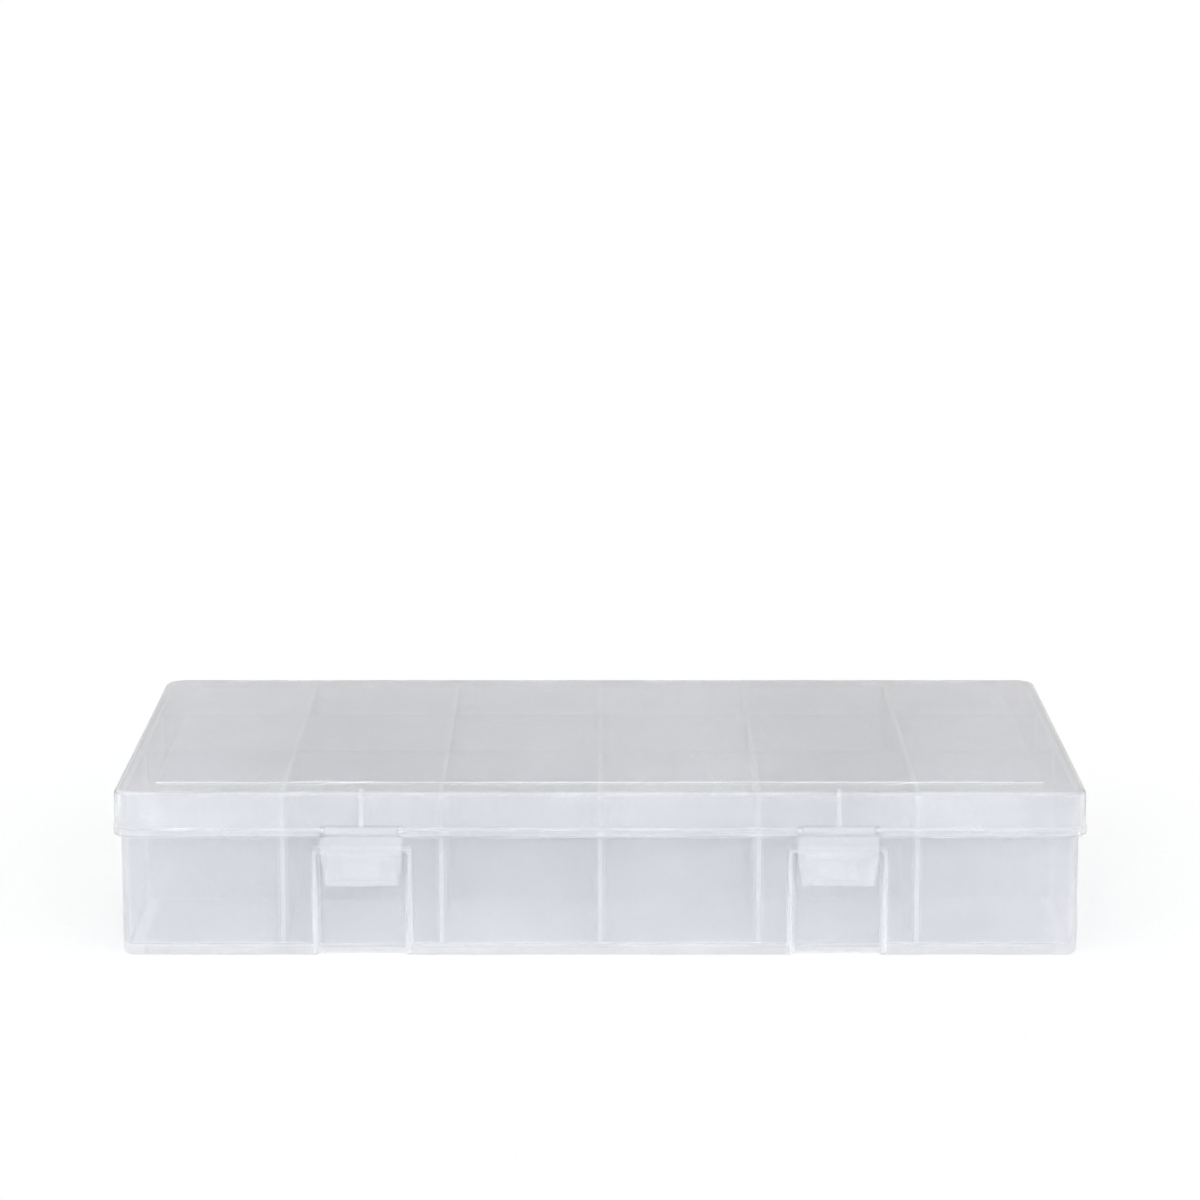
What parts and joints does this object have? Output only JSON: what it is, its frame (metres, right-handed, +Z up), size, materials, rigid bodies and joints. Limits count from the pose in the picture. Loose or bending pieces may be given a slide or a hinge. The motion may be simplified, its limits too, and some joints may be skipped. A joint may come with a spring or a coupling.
{
  "type": "compartment storage box",
  "caption": "Flat translucent box with a hinged lid, front snap latches and slotted dividers that part its tray into square compartments for small parts.",
  "frame": {"origin": "on the table under the middle of the box", "axes": "+X to the right along the long side, +Y from the latches to the hinges, +Z up"},
  "size_m": [0.325, 0.1875, 0.0573],
  "materials": {
    "natural_polypropylene": "satin, milky translucent"
  },
  "bodies": {
    "base": {"base_tray": "natural_polypropylene", "divider_1_1": "natural_polypropylene", "divider_1_2": "natural_polypropylene", "divider_1_3": "natural_polypropylene", "divider_1_4": "natural_polypropylene", "divider_1_5": "natural_polypropylene", "divider_2_1": "natural_polypropylene", "divider_2_2": "natural_polypropylene", "divider_2_3": "natural_polypropylene", "divider_2_4": "natural_polypropylene", "divider_2_5": "natural_polypropylene", "divider_3_1": "natural_polypropylene", "divider_3_2": "natural_polypropylene", "divider_3_3": "natural_polypropylene", "divider_3_4": "natural_polypropylene", "divider_3_5": "natural_polypropylene", "hinge_pin_left": "natural_polypropylene", "hinge_pin_right": "natural_polypropylene"},
    "lid": {"lid": "natural_polypropylene"},
    "latch_left": {"latch_left": "natural_polypropylene"},
    "latch_right": {"latch_right": "natural_polypropylene"}
  },
  "joints": [
    {"name": "lid_hinge", "type": "hinge", "parent": "base", "child": "lid", "pos_m": [0, 0.0923, 0.0391], "axis": [-1, 0, 0], "range_deg": [0, 180]},
    {"name": "latch_left_hinge", "type": "hinge", "parent": "lid", "child": "latch_left", "pos_m": [-0.07945, -0.09195, 0.0436], "axis": [-1, 0, 0], "range_deg": [0, 120]},
    {"name": "latch_right_hinge", "type": "hinge", "parent": "lid", "child": "latch_right", "pos_m": [0.07945, -0.09195, 0.0436], "axis": [-1, 0, 0], "range_deg": [0, 120]}
  ]
}
